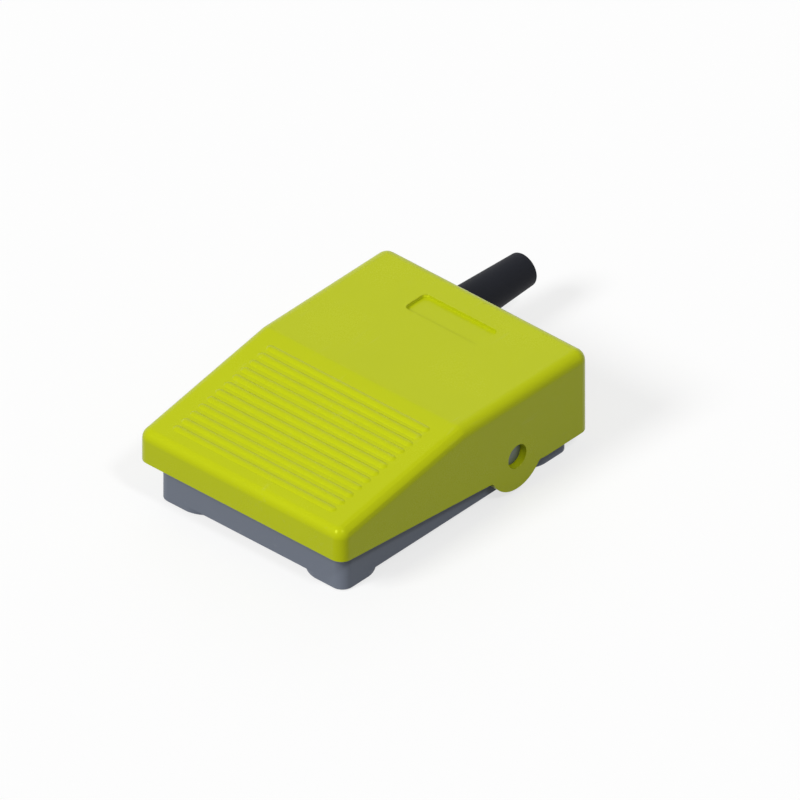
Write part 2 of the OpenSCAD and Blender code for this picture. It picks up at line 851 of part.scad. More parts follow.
// Least gap between one turn of the wire and the next, measured on the middle of the rings
coil_gap = min([for (i = [0:helix_rings - 1], j = [-1:1])
                norm(coil_middle(i) - coil_middle(i + helix_rings + j))]) - wire_d;
function coil_middle(i) = [spring_r * cos(360 * i / helix_rings), spring_r * sin(360 * i / helix_rings),
                           spring_pitch * i / helix_rings];
echo(coil_gap = coil_gap);

module return_spring(side) {
    color(steel)
        translate([side * spring_x, spring_y, spring_z + seat])
            polyhedron(spring_points, concat(spring_sides, spring_ends));
}

module return_spring_left() {
    return_spring(-1);
}

module return_spring_right() {
    return_spring(1);
}

// Actuator

module actuator() {
    steps = 6;
    half = asin(head_r / dome_r);
    dome = [for (i = [0:steps]) let (a = half * (1 - i / steps))
            [dome_r * sin(a), head_top - dome_r + dome_r * cos(a)]];
    tip_half = asin(groove_r / stem_r);
    tip = [for (i = [0:steps]) let (a = tip_half * i / steps)
           [stem_r * sin(a), stem_z + stem_r - stem_r * cos(a)]];
    color(nylon)
        turned(0, actuator_y, 0)
            polygon(concat(tip, [[groove_r, clip_z + clip_t + slide_play], [stem_r, clip_z + clip_t + slide_play],
                                 [stem_r, head_z], [head_r, head_z]], dome));
}

// A flat open ring that snaps into the groove under the cover
module actuator_clip() {
    mouth = 2 * groove_r;
    color(steel)
        translate([0, actuator_y, clip_z])
            difference() {
                cylinder(r = clip_r, h = clip_t);
                translate([0, 0, -cut])
                    cylinder(r = groove_r + slide_play, h = clip_t + 2 * cut);
                translate([0, -mouth / 2, -cut])
                    cube([clip_r + cut, mouth, clip_t + 2 * cut]);
            }
}

// A rubber bellows: a foot on the cover, one fold, and a collar round the actuator's head
module actuator_boot() {
    inner = head_r + seat;
    collar_top = head_z + 2 * boot_t;
    waist_z = head_z - boot_t / 3;
    color(rubber_black)
        turned(0, actuator_y, 0)
            polygon([[stem_r + guide_wall + 3 * seat, boot_seat_z], [boot_r, boot_seat_z],
                     [boot_r, boot_seat_z + boot_t], [boot_r - boot_t, boot_seat_z + boot_t],
                     [boot_r - boot_t, waist_z], [inner + boot_t, collar_top], [inner, collar_top],
                     [inner, waist_z - boot_t], [boot_r - 2 * boot_t, waist_z - boot_t],
                     [boot_r - 2 * boot_t, boot_seat_z + boot_t],
                     [stem_r + guide_wall + 3 * seat, boot_seat_z + boot_t]]);
}

// Microswitch

module switch_case() {
    shell_w = case_w - lid_t;
    color(switch_black)
        difference() {
            union() {
                translate([-case_w / 2, case_y, case_z])
                    cube([shell_w, case_l, case_h]);
                for (x = [-case_w / 2, case_w / 2 - lid_t - hinge_ear_t])
                    translate([x, hinge_y - hinge_ear_half, case_top - hinge_rise])
                        cube([hinge_ear_t, 2 * hinge_ear_half, 2 * hinge_rise + hinge_ear_half]);
            }
            bar_x(barrel_r + slide_play, -case_w, case_w, hinge_y, hinge_z);
            translate([-lid_t / 2, button_y, button_top - button_l - button_room])
                cylinder(r = button_r + slide_play, h = case_h);
            case_screw_places(-case_w)
                rotate([0, 90, 0])
                    cylinder(r = case_screw_r + fit, h = 2 * case_w);
            switch_terminal_slots();
        }
}

module switch_lid() {
    color(switch_red)
        difference() {
            translate([case_w / 2 - lid_t, case_y, case_z])
                cube([lid_t, case_l, case_h]);
            case_screw_places(-case_w)
                rotate([0, 90, 0])
                    cylinder(r = case_screw_r + fit, h = 2 * case_w);
        }
}

module switch_button() {
    chamfer = button_r / 3;
    color(nylon)
        turned(-lid_t / 2, button_y, button_top - button_l)
            polygon([[0, 0], [button_r, 0], [button_r, button_l - chamfer],
                     [button_r - chamfer, button_l], [0, button_l]]);
}

// The lever: a barrel that turns in the case's ears, and a strip that rises to the actuator
module switch_lever() {
    gap = 2 * slide_play;
    inner = case_w - lid_t - 2 * hinge_ear_t - 2 * gap;
    strip_w = min(lever_w, inner);
    strip_l = lever_arm / cos(lever_deg) + lever_tip;
    color(steel)
        union() {
            bar_x(barrel_r, -case_w / 2, case_w / 2 - lid_t, hinge_y, hinge_z);
            translate([-lid_t / 2, hinge_y, hinge_z])
                rotate([-lever_deg, 0, 0])
                    translate([-strip_w / 2, -strip_l, -lever_t / 2])
                        cube([strip_w, strip_l, lever_t]);
        }
}

module terminal_place(i) {
    translate([0, case_y + terminal_end + terminal_pitches[i], case_z - terminal_t])
        children();
}

// A flat lug under the case with a foot up into it, a hole in its free end
module terminal(i) {
    stub_x = -case_w / 4;
    color(brass)
        terminal_place(i)
            difference() {
                union() {
                    translate([stub_x, -terminal_w / 2, 0])
                        cube([case_w / 2 + terminal_out - stub_x, terminal_w, terminal_t]);
                    translate([stub_x, -terminal_w / 2, 0])
                        cube([terminal_t, terminal_w, 4 * terminal_t]);
                }
                translate([case_w / 2 + terminal_out - terminal_w / 2, 0, -cut])
                    cylinder(r = terminal_w / 5, h = 2 * cut + terminal_t);
            }
}

module switch_terminal_slots() {
    for (i = [0:2])
        terminal_place(i)
            translate([-case_w / 4, -terminal_w / 2, 0])
                cube([terminal_t, terminal_w, 4 * terminal_t]);
}

module terminal_common() {
    terminal(2);
}

module terminal_open() {
    terminal(1);
}

module terminal_closed() {
    terminal(0);
}

module switch_screws() {
    color(steel)
        case_screw_places(case_w / 2)
            rotate([0, 90, 0])
                screw(case_screw_r, case_w + bracket_t, 1.9 * case_screw_r, 1.2 * case_screw_r);
}

// Cord sleeve and clamp

module strain_relief() {
    shoulder_y = base_rear_y + seat;
    end_y = rear_y + sleeve_out;
    round_r = 0.5;
    steps = 4;
    rim = [for (i = [0:steps])
           [sleeve_end_r - round_r + round_r * cos(90 * i / steps),
            end_y - round_r + round_r * sin(90 * i / steps)]];
    color(rubber_black)
        translate([cord_x, 0, cord_h])
            rotate([-90, 0, 0])
                rotate_extrude()
                    polygon(concat([[cord_r, wall_in_y - flange_t - seat], [flange_r, wall_in_y - flange_t - seat],
                                    [flange_r, wall_in_y - seat], [neck_r, wall_in_y - seat],
                                    [neck_r, shoulder_y], [sleeve_r, shoulder_y]],
                                   rim, [[cord_r, end_y]]));
}

// A bar with an arch over the cord
module cord_clamp() {
    arch_h = cord_h + cord_r + arch_wall - clamp_z;
    end = clamp_span / 2 + post_r;
    color(cover_grey)
        difference() {
            translate([cord_x, clamp_y + clamp_w / 2, clamp_z])
                rotate([90, 0, 0])
                    linear_extrude(clamp_w)
                        difference() {
                            polygon([[-end, 0], [end, 0], [end, clamp_t], [cord_r + clamp_t, clamp_t],
                                     [cord_r, arch_h], [-cord_r, arch_h],
                                     [-cord_r - clamp_t, clamp_t], [-end, clamp_t]]);
                            translate([0, cord_h - clamp_z])
                                circle(cord_r - 2 * seat);
                        }
            clamp_places(clamp_z - cut)
                cylinder(r = clamp_screw_r + fit, h = clamp_t + 2 * cut);
        }
}

module cord_clamp_screws() {
    color(steel)
        clamp_places(clamp_z + clamp_t)
            screw(clamp_screw_r, clamp_screw_l, clamp_screw_head_r, clamp_screw_head_h);
}

pedal();
base_housing();
foot_pads();
inner_cover();
cover_gasket();
cover_screws();
pivot_pin_left();
pivot_pin_right();
return_spring_left();
return_spring_right();
actuator();
actuator_clip();
actuator_boot();
switch_case();
switch_lid();
switch_button();
switch_lever();
terminal_common();
terminal_open();
terminal_closed();
switch_screws();
strain_relief();
cord_clamp();
cord_clamp_screws();
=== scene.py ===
"""A small foot switch: a lime pedal over a grey base, in metres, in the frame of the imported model."""
import bpy
from math import cos, pi, radians, sin
from mathutils import Matrix, Vector


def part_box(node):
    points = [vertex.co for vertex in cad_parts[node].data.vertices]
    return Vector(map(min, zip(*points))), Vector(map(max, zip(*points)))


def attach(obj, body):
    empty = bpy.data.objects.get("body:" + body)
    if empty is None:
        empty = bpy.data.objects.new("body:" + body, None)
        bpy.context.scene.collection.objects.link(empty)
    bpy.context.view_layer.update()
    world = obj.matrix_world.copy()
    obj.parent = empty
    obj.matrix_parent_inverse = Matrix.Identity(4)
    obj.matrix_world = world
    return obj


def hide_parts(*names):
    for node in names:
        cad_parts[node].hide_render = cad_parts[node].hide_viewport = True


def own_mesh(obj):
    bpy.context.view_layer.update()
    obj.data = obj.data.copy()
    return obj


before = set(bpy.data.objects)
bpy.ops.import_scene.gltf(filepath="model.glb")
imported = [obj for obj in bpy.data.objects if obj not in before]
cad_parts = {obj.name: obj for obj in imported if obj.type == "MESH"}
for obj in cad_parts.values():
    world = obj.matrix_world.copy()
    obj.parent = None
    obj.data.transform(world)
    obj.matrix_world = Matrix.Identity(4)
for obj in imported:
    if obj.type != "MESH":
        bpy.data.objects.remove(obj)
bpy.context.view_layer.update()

# Camera: a parallel view from the pedal's front right corner, from above.
# The photograph shows the front lower corner of the base at a known place, which fixes the aim.
VIEW_AZIMUTH = radians(42.0)
VIEW_ELEVATION = radians(35.3)
PIXELS_PER_METRE = 4049.0
PICTURE_PIXELS = 800
CORNER = Vector((0.034, -0.0622, 0.0126))   # the pedal's lower front right corner
AIM_RIGHT, AIM_UP = 0.0145, 0.04073         # from that corner to the middle of the picture
CAMERA_DISTANCE = 1.2

ca, sa = cos(VIEW_AZIMUTH), sin(VIEW_AZIMUTH)
ce, se = cos(VIEW_ELEVATION), sin(VIEW_ELEVATION)
view_right = Vector((ca, sa, 0))
view_up = Vector((-sa * se, ca * se, ce))
view_back = Vector((sa * ce, -ca * ce, se))
aim = CORNER + AIM_RIGHT * view_right + AIM_UP * view_up
camera_data = bpy.data.cameras.new("camera")
camera_data.type = "ORTHO"
camera_data.ortho_scale = PICTURE_PIXELS / PIXELS_PER_METRE
camera_data.clip_end = 10
camera = bpy.data.objects.new("camera", camera_data)
bpy.context.collection.objects.link(camera)
camera.matrix_world = Matrix((
    (view_right.x, view_up.x, view_back.x, aim.x + CAMERA_DISTANCE * view_back.x),
    (view_right.y, view_up.y, view_back.y, aim.y + CAMERA_DISTANCE * view_back.y),
    (view_right.z, view_up.z, view_back.z, aim.z + CAMERA_DISTANCE * view_back.z),
    (0, 0, 0, 1)))
bpy.context.scene.camera = camera


# Floor and light: a white table seen without a horizon, a soft lamp from the front left, a
# weaker one from above on the right, a faint one from behind, and even light all round.
# A lamp's vector points towards it, and its length is the lamp's share of the light.
FLOOR_SIZE = 6.0
FLOOR_SEEN, FLOOR_BOUNCE = 0.95, 0.2
FLOOR_GLOW = 0.7
FLOOR_DROP = 0.00002    # keeps the floor off the pads' undersides
SKY_LEVEL = 0.26
LAMPS = (("front_lamp", Vector((-0.12, -0.54, 0.46)), radians(20)),
         ("right_lamp", Vector((0.165, -0.05, 0.22)), radians(9)),
         ("rear_lamp", Vector((-0.11, 0.18, 0.05)), radians(60)))


def new_material(name):
    """A material with a Principled shader and its output, and nothing else."""
    material = bpy.data.materials.new(name)
    material.use_nodes = True
    nodes = material.node_tree.nodes
    return material, nodes, material.node_tree.links, nodes["Principled BSDF"]


def math_node(tree, operation, *values, clamp=False):
    """A Math node; each value is a number or the socket that feeds it."""
    node = tree.nodes.new("ShaderNodeMath")
    node.operation = operation
    node.use_clamp = clamp
    for socket, value in zip(node.inputs, values):
        if hasattr(value, "links"):
            tree.links.new(value, socket)
        else:
            socket.default_value = value
    return node.outputs["Value"]


def seen_directly(tree):
    """1 for rays from the camera or through gloss and glass, and 0 for the light on the part."""
    path = tree.nodes.new("ShaderNodeLightPath")
    seen = math_node(tree, "MAXIMUM", path.outputs["Is Camera Ray"], path.outputs["Is Glossy Ray"])
    return math_node(tree, "MAXIMUM", seen, path.outputs["Is Transmission Ray"])


bpy.ops.object.select_all(action="DESELECT")
bpy.ops.mesh.primitive_plane_add(size=FLOOR_SIZE, location=(0, 0, -FLOOR_DROP))
floor = bpy.context.object
floor.name = "floor"
floor_paint, nodes, links, shader = new_material("floor_paint")
tree = floor_paint.node_tree
seen = seen_directly(tree)
level = math_node(tree, "MULTIPLY_ADD", seen, FLOOR_SEEN - FLOOR_BOUNCE, FLOOR_BOUNCE)
grey = nodes.new("ShaderNodeCombineColor")
for channel in ("Red", "Green", "Blue"):
    links.new(level, grey.inputs[channel])
nodes.remove(shader)
matt = nodes.new("ShaderNodeBsdfDiffuse")
links.new(grey.outputs["Color"], matt.inputs["Color"])
glow = nodes.new("ShaderNodeEmission")
glow.inputs["Color"].default_value = (1, 1, 1, 1)
blend = nodes.new("ShaderNodeMixShader")
links.new(math_node(tree, "MULTIPLY", seen, FLOOR_GLOW), blend.inputs[0])
links.new(matt.outputs["BSDF"], blend.inputs[1])
links.new(glow.outputs["Emission"], blend.inputs[2])
links.new(blend.outputs["Shader"], nodes["Material Output"].inputs["Surface"])
floor.data.materials.append(floor_paint)

world = bpy.data.worlds.new("world")
world.use_nodes = True
bpy.context.scene.world = world
tree = world.node_tree
sky = tree.nodes["Background"]
sky.inputs["Color"].default_value = (1, 1, 1, 1)
level = math_node(tree, "MULTIPLY_ADD", seen_directly(tree), 1 - SKY_LEVEL, SKY_LEVEL)
tree.links.new(level, sky.inputs["Strength"])

for name, towards, softness in LAMPS:
    lamp_data = bpy.data.lights.new(name, "SUN")
    lamp_data.energy = pi * towards.length
    lamp_data.angle = softness
    lamp = bpy.data.objects.new(name, lamp_data)
    bpy.context.collection.objects.link(lamp)
    lamp.rotation_euler = towards.to_track_quat("Z", "Y").to_euler()
    lamp.visible_glossy = name != "rear_lamp"
bpy.context.scene.view_settings.view_transform = "Standard"


# Base: a grey moulded tub with four corner feet and sockets for the pins in its sides.
# It is injection moulded in glass-filled nylon, which leaves an even, fine, matt grain.
BASE_COLOUR = (0.175, 0.197, 0.245, 1)
SMOOTH_UNDER = radians(32)
MERGE_WITHIN = 1e-6
FLAT_UNDER = radians(0.5)


def shader_group(name, inputs, outputs):
    """A new shader node group with its sockets, and its two end nodes."""
    group = bpy.data.node_groups.new(name, "ShaderNodeTree")
    for label, kind, value in inputs:
        socket = group.interface.new_socket(label, in_out="INPUT", socket_type=kind)
        socket.default_value = value
    for label, kind in outputs:
        group.interface.new_socket(label, in_out="OUTPUT", socket_type=kind)
    return group, group.nodes.new("NodeGroupInput"), group.nodes.new("NodeGroupOutput")


def noise(tree, vector, scale, detail=2.0, roughness=0.5):
    """A Noise Texture's value over a vector, with its scale a number or a socket."""
    node = tree.nodes.new("ShaderNodeTexNoise")
    node.inputs["Detail"].default_value = detail
    node.inputs["Roughness"].default_value = roughness
    tree.links.new(vector, node.inputs["Vector"])
    if hasattr(scale, "links"):
        tree.links.new(scale, node.inputs["Scale"])
    else:
        node.inputs["Scale"].default_value = scale
    return node.outputs["Fac"]


def mix_colour(tree, amount, first, second):
    """A colour Mix node; each value is a number, a colour or a socket."""
    node = tree.nodes.new("ShaderNodeMix")
    node.data_type = "RGBA"
    for socket, value in zip((node.inputs[0], node.inputs[6], node.inputs[7]), (amount, first, second)):
        if hasattr(value, "links"):
            tree.links.new(value, socket)
        else:
            socket.default_value = value
    return node.outputs[2]


# Moulded skin: grain from the mould's spark-eroded wall, clouds from the melt's flow,
# and thin rubbed lines. It puts out a colour, a roughness and a height.
CLOUD_SCALE, CLOUD_ROUGHNESS = 45.0, 0.18
GRAIN_ROUGHNESS = 0.12
LINE_SCALE, LINE_THRESHOLD, LINE_CONTRAST = (900.0, 90.0, 900.0), 0.62, 6.0
PATCH_SCALE = 60.0              # the rubbed lines lie in patches of about this many per metre
RUBBED_PALER, RUBBED_SMOOTHER, RUBBED_DEPTH = 0.25, 0.12, 0.4
RUBBED_COLOUR = (0.8, 0.8, 0.75, 1)
skin, skin_in, skin_out = shader_group(
    "moulded_skin",
    [("Colour", "NodeSocketColor", (0.5, 0.5, 0.5, 1)), ("Roughness", "NodeSocketFloat", 0.45),
     ("Grain", "NodeSocketFloat", 3500.0), ("Clouds", "NodeSocketFloat", 0.04),
     ("Rubbing", "NodeSocketFloat", 0.3)],
    [("Colour", "NodeSocketColor"), ("Roughness", "NodeSocketFloat"), ("Height", "NodeSocketFloat")])
place = skin.nodes.new("ShaderNodeTexCoord").outputs["Object"]
grain = noise(skin, place, skin_in.outputs["Grain"], detail=3.0, roughness=0.6)
clouds = noise(skin, place, CLOUD_SCALE, detail=3.0)
stretch = skin.nodes.new("ShaderNodeMapping")
stretch.inputs["Scale"].default_value = LINE_SCALE
skin.links.new(place, stretch.inputs["Vector"])
lines = noise(skin, stretch.outputs["Vector"], 1.0, detail=2.0)
lines = math_node(skin, "SUBTRACT", lines, LINE_THRESHOLD, clamp=True)
lines = math_node(skin, "MULTIPLY", lines, LINE_CONTRAST, clamp=True)
patches = math_node(skin, "SUBTRACT", noise(skin, place, PATCH_SCALE, detail=2.0), 0.5, clamp=True)
patches = math_node(skin, "MULTIPLY", patches, LINE_CONTRAST, clamp=True)
rubbed = math_node(skin, "MULTIPLY", lines, patches)
rubbed = math_node(skin, "MULTIPLY", rubbed, skin_in.outputs["Rubbing"])
drift = math_node(skin, "MULTIPLY", math_node(skin, "SUBTRACT", clouds, 0.5), skin_in.outputs["Clouds"])
brightness = skin.nodes.new("ShaderNodeHueSaturation")
skin.links.new(skin_in.outputs["Colour"], brightness.inputs["Color"])
skin.links.new(math_node(skin, "ADD", drift, 1.0), brightness.inputs["Value"])
paleness = math_node(skin, "MULTIPLY", rubbed, RUBBED_PALER)
pale = mix_colour(skin, paleness, brightness.outputs["Color"], RUBBED_COLOUR)
skin.links.new(pale, skin_out.inputs["Colour"])
shine = math_node(skin, "MULTIPLY_ADD", math_node(skin, "SUBTRACT", clouds, 0.5), CLOUD_ROUGHNESS,
                  skin_in.outputs["Roughness"])
shine = math_node(skin, "MULTIPLY_ADD", rubbed, -RUBBED_SMOOTHER, shine)
shine = math_node(skin, "MULTIPLY_ADD", math_node(skin, "SUBTRACT", grain, 0.5), GRAIN_ROUGHNESS, shine)
skin.links.new(shine, skin_out.inputs["Roughness"])
skin.links.new(math_node(skin, "MULTIPLY_ADD", rubbed, -RUBBED_DEPTH, grain), skin_out.inputs["Height"])


def moulded(name, colour, roughness, grain=3500.0, clouds=0.04, rubbing=0.3, depth=0.00002,
            level=0.35):
    """A moulded plastic or rubber: the skin group into a Principled shader."""
    material, nodes, links, shader = new_material(name)
    group = nodes.new("ShaderNodeGroup")
    group.node_tree = skin
    group.inputs["Colour"].default_value = colour
    for label, value in (("Roughness", roughness), ("Grain", grain), ("Clouds", clouds),
                         ("Rubbing", rubbing)):
        group.inputs[label].default_value = value
    bump = nodes.new("ShaderNodeBump")
    bump.inputs["Distance"].default_value = depth
    links.new(group.outputs["Height"], bump.inputs["Height"])
    links.new(group.outputs["Colour"], shader.inputs["Base Color"])
    links.new(group.outputs["Roughness"], shader.inputs["Roughness"])
    links.new(bump.outputs["Normal"], shader.inputs["Normal"])
    shader.inputs["Specular IOR Level"].default_value = level
    return material


def moulding(node, name, material, body):
    """A merged, smooth-shaded copy of a CAD moulding that stands for it and rides on its body."""
    bpy.ops.object.select_all(action="DESELECT")
    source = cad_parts[node]
    piece = source.copy()
    piece.data = source.data.copy()
    piece.name = name
    bpy.context.collection.objects.link(piece)
    bpy.context.view_layer.objects.active = piece
    piece.select_set(True)
    bpy.ops.object.mode_set(mode="EDIT")
    bpy.ops.mesh.select_all(action="SELECT")
    bpy.ops.mesh.remove_doubles(threshold=MERGE_WITHIN)
    bpy.ops.mesh.dissolve_limited(angle_limit=FLAT_UNDER)
    bpy.ops.object.mode_set(mode="OBJECT")
    bpy.ops.object.shade_smooth_by_angle(angle=SMOOTH_UNDER)
    piece.modifiers.new("flats", "WEIGHTED_NORMAL").keep_sharp = True
    bpy.ops.object.modifier_apply(modifier="flats")
    piece.data.materials.clear()
    piece.data.materials.append(material)
    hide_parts(node)
    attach(piece, body)
    return piece


base_plastic = moulded("base_plastic", BASE_COLOUR, 0.5, grain=3800.0, level=0.2)
moulding("base_housing", "base_tub", base_plastic, "base")


# Foot pads: four round rubber pads, pressed into the corner feet, with two fine grip
# grooves in their undersides. They stand 0.4 mm proud of the feet.
PAD_SIDES = 64
PAD_RADIUS = 0.0055
GRIP_GROOVES = (0.0018, 0.0036)
GROOVE_WIDTH, GROOVE_DEPTH = 0.0004, 0.00015
PAD_CHAMFER = 0.00012
RUBBER_COLOUR = (0.0065, 0.0075, 0.012, 1)
ROUND_SMOOTH = radians(28)


def begin():
    """Object mode with nothing selected, which is how each new piece starts."""
    if bpy.context.object and bpy.context.object.mode != "OBJECT":
        bpy.ops.object.mode_set(mode="OBJECT")
    bpy.ops.object.select_all(action="DESELECT")


def drawn_up(profile, centre, sides, join_ends=False):
    """A round form about a vertical axis: a circle, extruded ring by ring along (radius, height)
    pairs, then closed at both ends, or bridged from its last ring to its first."""
    begin()
    radius, height = profile[0]
    bpy.ops.mesh.primitive_circle_add(vertices=sides, radius=radius, fill_type="NOTHING",
                                      location=(centre[0], centre[1], height))
    piece = bpy.context.object
    bpy.ops.object.transform_apply(location=True, rotation=True, scale=True)
    bpy.ops.object.mode_set(mode="EDIT")
    bpy.ops.mesh.select_all(action="SELECT")
    if not join_ends:
        bpy.ops.mesh.edge_face_add()
    for next_radius, next_height in profile[1:]:
        bpy.ops.mesh.extrude_edges_move() if join_ends else bpy.ops.mesh.extrude_region_move()
        share = next_radius / radius
        bpy.ops.transform.resize(value=(share, share, 1), center_override=(centre[0], centre[1], height))
        bpy.ops.transform.translate(value=(0, 0, next_height - height))
        radius, height = next_radius, next_height
    if join_ends:
        bpy.ops.mesh.select_all(action="DESELECT")
        bpy.ops.mesh.select_non_manifold()
        bpy.ops.mesh.bridge_edge_loops()
    bpy.ops.mesh.select_all(action="SELECT")
    bpy.ops.mesh.normals_make_consistent(inside=False)
    bpy.ops.object.mode_set(mode="OBJECT")
    return piece


def laid_over(piece, turn, place):
    """Turns and moves a finished form, and writes that into its mesh."""
    piece.data.transform(Matrix.Translation(place) @ turn)
    piece.data.update()
    return piece


def finished(piece, name, material, slot, body, *nodes, smooth=ROUND_SMOOTH):
    """Names, shades, paints and mounts a piece that stands for its CAD nodes."""
    begin()
    bpy.context.view_layer.objects.active = piece
    piece.select_set(True)
    piece.name = name
    bpy.ops.object.shade_smooth_by_angle(angle=smooth)
    piece.data.materials.clear()
    piece.data.materials.append(material)
    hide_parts(*nodes)
    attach(piece, body)
    return piece


def copied(piece, place):
    """A copy of a piece, with its own mesh, moved by place."""
    twin = piece.copy()
    twin.data = piece.data.copy()
    twin.data.transform(Matrix.Translation(place))
    bpy.context.collection.objects.link(twin)
    return twin


def joined(pieces):
    """Several pieces as one object."""
    begin()
    for piece in pieces:
        piece.select_set(True)
    bpy.context.view_layer.objects.active = pieces[0]
    bpy.ops.object.join()
    return pieces[0]


rubber = moulded("black_rubber", RUBBER_COLOUR, 0.62, grain=5200.0, clouds=0.1, rubbing=0.2,
                 depth=0.00003, level=0.15)
pads_low, pads_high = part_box("foot_pads")
profile = [(0.0001, 0.0)]
for groove in GRIP_GROOVES:
    profile += [(groove, 0.0), (groove, GROOVE_DEPTH), (groove + GROOVE_WIDTH, GROOVE_DEPTH),
                (groove + GROOVE_WIDTH, 0.0)]
profile += [(PAD_RADIUS - PAD_CHAMFER, 0.0), (PAD_RADIUS, PAD_CHAMFER), (PAD_RADIUS, pads_high[2])]
corner = (pads_low[0] + PAD_RADIUS, pads_low[1] + PAD_RADIUS)
across = pads_high[0] - pads_low[0] - 2 * PAD_RADIUS
along = pads_high[1] - pads_low[1] - 2 * PAD_RADIUS
pad = drawn_up(profile, corner, PAD_SIDES)
pads = [pad] + [copied(pad, place) for place in ((across, 0, 0), (0, along, 0), (across, along, 0))]
finished(joined(pads), "grip_pads", rubber, "black_rubber", "base", "foot_pads")


# Cord sleeve: a tapered rubber grommet that snaps into the base's rear wall by its flange
# and keeps the cord from kinking. Its end is open, ready for the cord.
SLEEVE_SIDES = 72
BORE = 0.0029
sleeve_low, sleeve_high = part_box("strain_relief")
SLEEVE_AXIS_X = (sleeve_low[0] + sleeve_high[0]) / 2
SLEEVE_AXIS_Z = (sleeve_low[2] + sleeve_high[2]) / 2
FLANGE, NECK, SHOULDER, TIP = 0.0058, 0.00464, 0.006, 0.00465
FLANGE_END, SHOULDER_START = 0.0232, 0.0258
TIP_ROUND, BORE_ROUND = 0.0005, 0.0004
tail_y, mouth_y = sleeve_low[1], sleeve_high[1]
rim = [(TIP - TIP_ROUND * (1 - cos(a)), mouth_y - TIP_ROUND * (1 - sin(a)))
       for a in (radians(step) for step in (0, 22, 45, 68, 90))]
lip = [(BORE + BORE_ROUND * (1 - sin(a)), mouth_y - BORE_ROUND * (1 - cos(a)))
       for a in (radians(step) for step in (0, 30, 60, 90))]
profile = ([(BORE, tail_y), (FLANGE - TIP_ROUND / 2, tail_y), (FLANGE, tail_y + TIP_ROUND / 2),
            (FLANGE, FLANGE_END), (NECK, FLANGE_END), (NECK, SHOULDER_START),
            (SHOULDER - TIP_ROUND / 2, SHOULDER_START), (SHOULDER, SHOULDER_START + TIP_ROUND / 2)]
           + rim + lip)
sleeve = drawn_up(profile, (0, 0), SLEEVE_SIDES, join_ends=True)
laid_over(sleeve, Matrix.Rotation(-pi / 2, 4, "X"), (SLEEVE_AXIS_X, 0, SLEEVE_AXIS_Z))
finished(sleeve, "cord_sleeve", rubber, "black_rubber", "base", "strain_relief")

# Cord clamp: a moulded bar with an arch over the cord, held by two screws on posts.
cover_plastic = moulded("cover_plastic", (0.073, 0.078, 0.095, 1), 0.5, grain=3600.0, level=0.25)
moulding("cord_clamp", "clamp_bar", cover_plastic, "base")


# Microswitch: a thermoset case with a riveted red side cover, a nylon button, a sprung steel
# lever on two ears and three brass tabs. Two screws hold it to a bracket in the base.
thermoset = moulded("switch_black", (0.014, 0.014, 0.015, 1), 0.38, grain=4200.0, rubbing=0.1)
red_thermoset = moulded("switch_red", (0.32, 0.02, 0.012, 1), 0.36, grain=4200.0, rubbing=0.1)
nylon = moulded("white_nylon", (0.71, 0.70, 0.64, 1), 0.34, grain=2500.0, clouds=0.06, rubbing=0.1)
moulding("switch_case", "snap_switch_case", thermoset, "base")
moulding("switch_lid", "snap_switch_lid", red_thermoset, "base")
moulding("switch_button", "snap_switch_button", nylon, "button")

# Metal skin: rolling or drawing lines along one axis over a faint clouding, for every metal
# here. It puts out a colour, a roughness and a height.
STAIN_SCALE, STAIN_THRESHOLD, STAIN_CONTRAST, STAIN_ROUGHNESS = 260.0, 0.45, 2.2, 0.12
STREAK_ROUGHNESS = 0.22
metal, metal_in, metal_out = shader_group(
    "metal_skin",
    [("Colour", "NodeSocketColor", (0.5, 0.5, 0.5, 1)), ("Tarnish", "NodeSocketColor", (0.4, 0.4, 0.4, 1)),
     ("Roughness", "NodeSocketFloat", 0.35), ("Lines", "NodeSocketVector", (2000.0, 2000.0, 200.0))],
    [("Colour", "NodeSocketColor"), ("Roughness", "NodeSocketFloat"), ("Height", "NodeSocketFloat")])
place = metal.nodes.new("ShaderNodeTexCoord").outputs["Object"]
drawn = metal.nodes.new("ShaderNodeVectorMath")
drawn.operation = "MULTIPLY"
metal.links.new(place, drawn.inputs[0])
metal.links.new(metal_in.outputs["Lines"], drawn.inputs[1])
streaks = noise(metal, drawn.outputs["Vector"], 1.0, detail=3.0)
clouds = noise(metal, place, STAIN_SCALE, detail=3.0)
stain = math_node(metal, "SUBTRACT", clouds, STAIN_THRESHOLD, clamp=True)
stain = math_node(metal, "MULTIPLY", stain, STAIN_CONTRAST, clamp=True)
metal.links.new(mix_colour(metal, stain, metal_in.outputs["Colour"], metal_in.outputs["Tarnish"]),
                metal_out.inputs["Colour"])
shine = math_node(metal, "MULTIPLY_ADD", streaks, STREAK_ROUGHNESS, metal_in.outputs["Roughness"])
shine = math_node(metal, "MULTIPLY_ADD", stain, STAIN_ROUGHNESS, shine)
metal.links.new(shine, metal_out.inputs["Roughness"])
metal.links.new(streaks, metal_out.inputs["Height"])


def metallic(name, colour, tarnish, roughness, lines=(2000.0, 2000.0, 200.0), depth=0.000006):
    """A metal: the metal skin group into a Principled shader."""
    material, nodes, links, shader = new_material(name)
    group = nodes.new("ShaderNodeGroup")
    group.node_tree = metal
    for label, value in (("Colour", colour), ("Tarnish", tarnish), ("Roughness", roughness),
                         ("Lines", lines)):
        group.inputs[label].default_value = value
    bump = nodes.new("ShaderNodeBump")
    bump.inputs["Distance"].default_value = depth
    links.new(group.outputs["Height"], bump.inputs["Height"])
    links.new(group.outputs["Colour"], shader.inputs["Base Color"])
    links.new(group.outputs["Roughness"], shader.inputs["Roughness"])
    links.new(bump.outputs["Normal"], shader.inputs["Normal"])
    shader.inputs["Metallic"].default_value = 1.0
    return material


